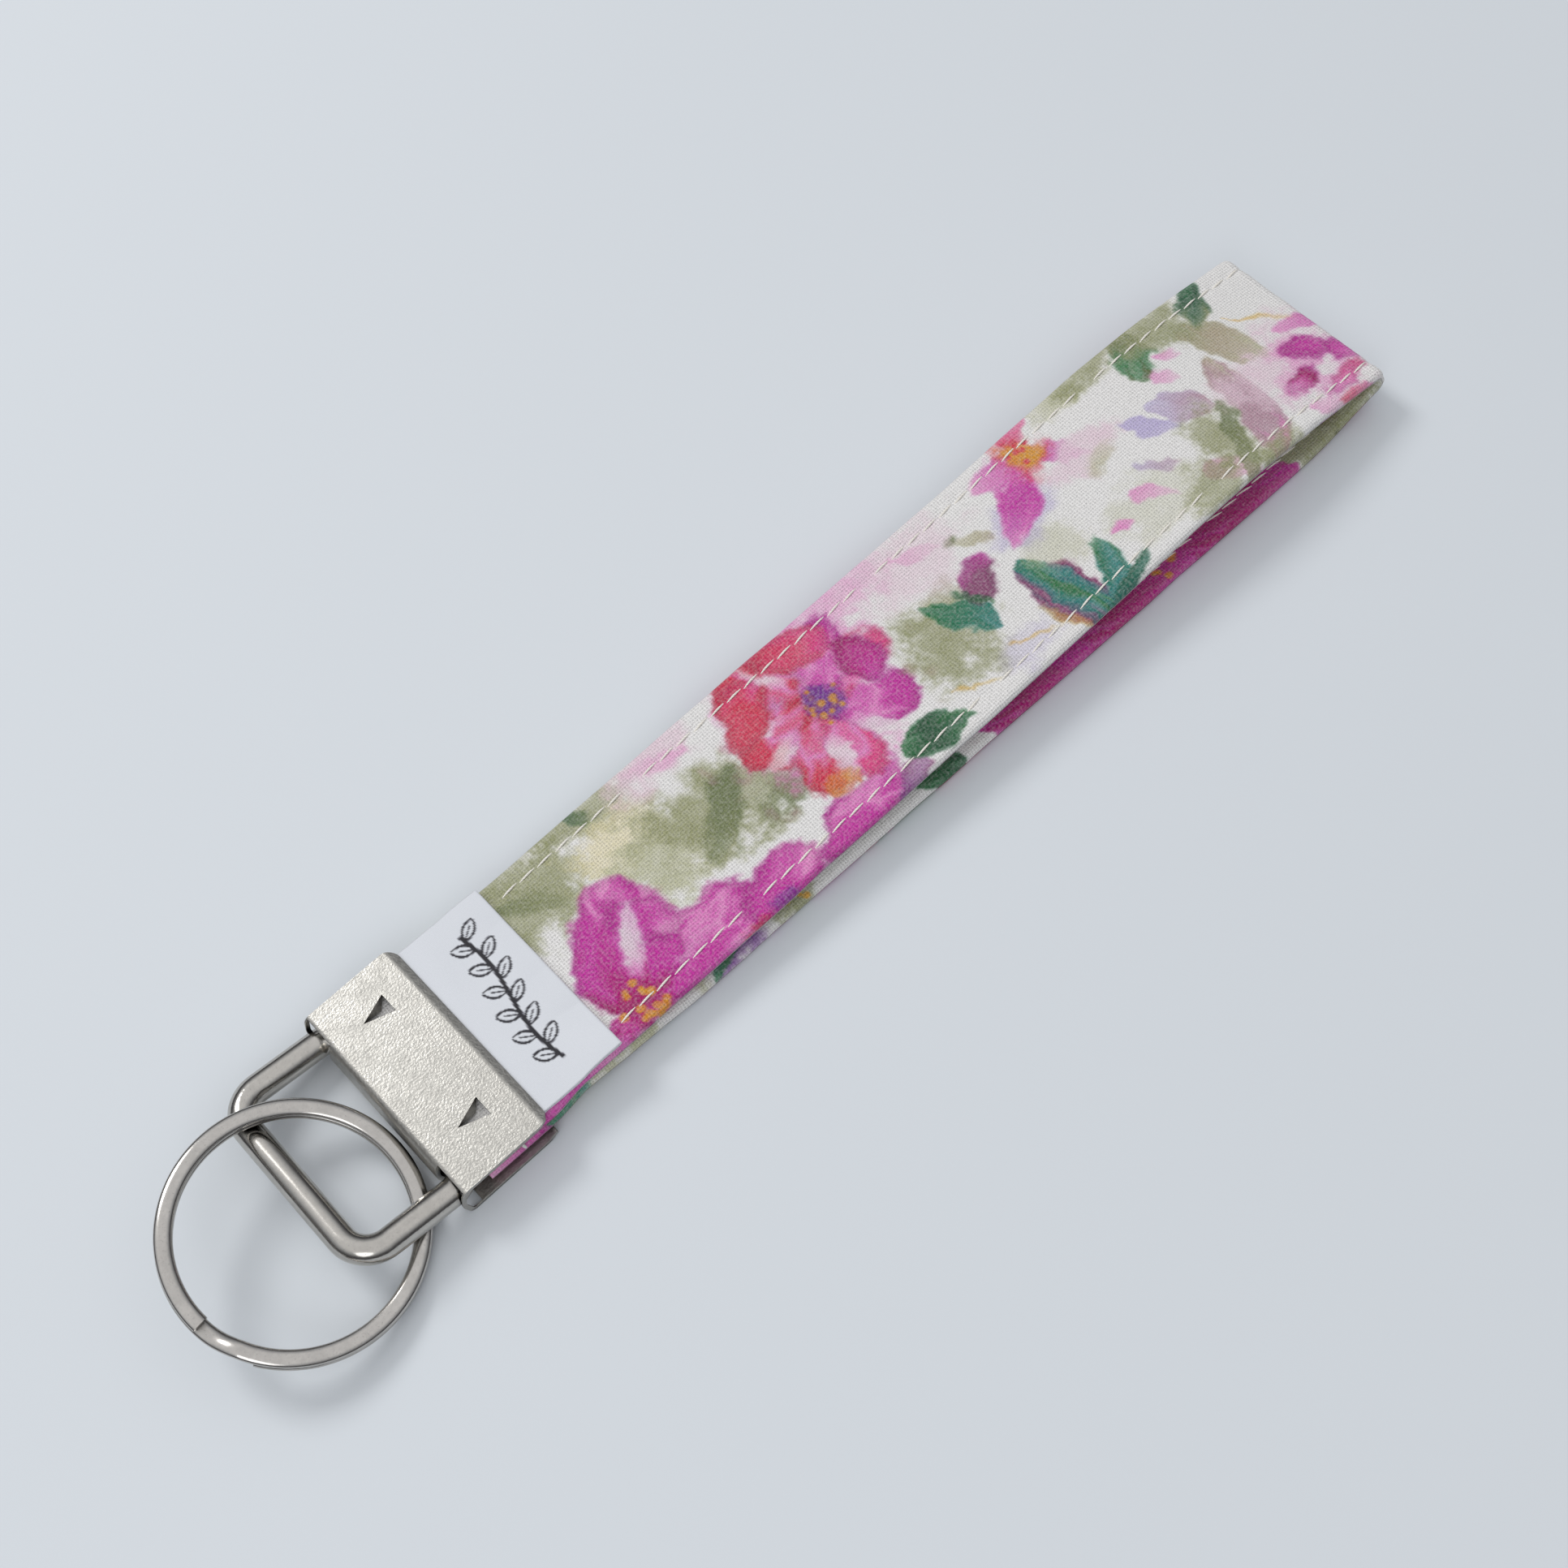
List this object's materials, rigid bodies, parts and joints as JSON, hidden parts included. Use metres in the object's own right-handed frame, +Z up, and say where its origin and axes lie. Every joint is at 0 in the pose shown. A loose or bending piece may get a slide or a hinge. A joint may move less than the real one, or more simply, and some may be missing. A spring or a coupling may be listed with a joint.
{
  "type": "wristlet keychain",
  "caption": "Fabric wrist strap folded double, its ends pressed in a metal clamp that carries a swinging wire bail and a split key ring.",
  "frame": {"origin": "centre of the clamp's flat underside", "axes": "+X along the strap from the clamp to its fold, +Y across the strap, +Z up"},
  "size_m": [0.1617, 0.0294, 0.0097],
  "materials": {
    "satin_nickel": "satin nickel plate on sheet steel, fine orange-peel grain",
    "polished_nickel": "bright nickel plated wire with faint forming marks",
    "ring_nickel": "bright nickel plated spring steel, rolled edges",
    "printed_cotton": "plain-weave quilting cotton with a watercolour flower print",
    "interfacing": "stiff non-woven interfacing, hidden inside the cotton",
    "cream_thread": "cream polyester sewing thread",
    "white_thread": "white sewing thread",
    "white_ribbon": "white satin ribbon, folded double"
  },
  "bodies": {
    "clamp": {"clamp_shell": "satin_nickel", "upper_end_cover": "printed_cotton", "upper_end_core": "interfacing", "lower_end_cover": "printed_cotton", "lower_end_core": "interfacing", "basting_thread": "white_thread"},
    "bail": {"bail": "polished_nickel"},
    "key_ring": {"split_ring": "ring_nickel"},
    "strap_base": {"upper_base_cover": "printed_cotton", "upper_base_core": "interfacing", "lower_base_cover": "printed_cotton", "lower_base_core": "interfacing", "label": "white_ribbon"},
    "upper_near": {"upper_near_cover": "printed_cotton", "upper_near_core": "interfacing", "upper_near_stitches": "cream_thread"},
    "upper_middle": {"upper_middle_cover": "printed_cotton", "upper_middle_core": "interfacing", "upper_middle_stitches": "cream_thread"},
    "upper_far": {"upper_far_cover": "printed_cotton", "upper_far_core": "interfacing", "upper_far_stitches": "cream_thread"},
    "lower_near": {"lower_near_cover": "printed_cotton", "lower_near_core": "interfacing", "lower_near_stitches": "cream_thread"},
    "lower_middle": {"lower_middle_cover": "printed_cotton", "lower_middle_core": "interfacing", "lower_middle_stitches": "cream_thread"},
    "lower_far": {"lower_far_cover": "printed_cotton", "lower_far_core": "interfacing", "lower_far_stitches": "cream_thread"},
    "fold": {"fold_cover": "printed_cotton", "fold_core": "interfacing", "fold_stitches": "cream_thread"}
  },
  "joints": [
    {"name": "bail_swing", "type": "hinge", "parent": "clamp", "child": "bail", "pos_m": [-0.0038, 0, 0.00245], "axis": [0, 0.999, -0.0436], "range_deg": [-8, 10]},
    {"name": "ring_swing", "type": "hinge", "parent": "bail", "child": "key_ring", "pos_m": [-0.01624, 0.00009, 0.00348], "axis": [0, 0.999, -0.0436], "range_deg": [0, 120]},
    {"name": "strap_bend", "type": "hinge", "parent": "clamp", "child": "strap_base", "pos_m": [0.0064, 0.00009, 0.0027], "axis": [-0.0093, -1, 0], "range_deg": [-20, 20]},
    {"name": "loop_open", "type": "hinge", "parent": "strap_base", "child": "upper_near", "pos_m": [0.017, -0.00001, 0.0046], "axis": [-0.0093, -1, 0], "range_deg": [0, 45]},
    {"name": "upper_crest", "type": "hinge", "parent": "upper_near", "child": "upper_middle", "pos_m": [0.053, -0.00034, 0.00322], "axis": [-0.0093, -1, 0], "range_deg": [-46, 1]},
    {"name": "upper_fall", "type": "hinge", "parent": "upper_middle", "child": "upper_far", "pos_m": [0.085, -0.00064, 0.00322], "axis": [-0.0093, -1, 0], "range_deg": [-46, 1]},
    {"name": "fold_upper_bend", "type": "hinge", "parent": "upper_far", "child": "fold", "pos_m": [0.121, -0.00098, 0.0046], "axis": [-0.0093, -1, 0], "range_deg": [-1, 46]},
    {"name": "lower_dip", "type": "hinge", "parent": "strap_base", "child": "lower_near", "pos_m": [0.017, -0.00001, 0.00034], "axis": [-0.0093, -1, 0], "range_deg": [-46, 1]},
    {"name": "lower_level", "type": "hinge", "parent": "lower_near", "child": "lower_middle", "pos_m": [0.053, -0.00034, 0.00172], "axis": [-0.0093, -1, 0], "range_deg": [-1, 46]},
    {"name": "lower_rise", "type": "hinge", "parent": "lower_middle", "child": "lower_far", "pos_m": [0.085, -0.00064, 0.00172], "axis": [-0.0093, -1, 0], "range_deg": [-1, 46]}
  ],
  "couplings": [
    {"joint": "upper_crest", "follows": "loop_open", "ratio": -1},
    {"joint": "upper_fall", "follows": "loop_open", "ratio": -1},
    {"joint": "fold_upper_bend", "follows": "loop_open", "ratio": 1},
    {"joint": "lower_dip", "follows": "loop_open", "ratio": -1},
    {"joint": "lower_level", "follows": "loop_open", "ratio": 1},
    {"joint": "lower_rise", "follows": "loop_open", "ratio": 1}
  ]
}
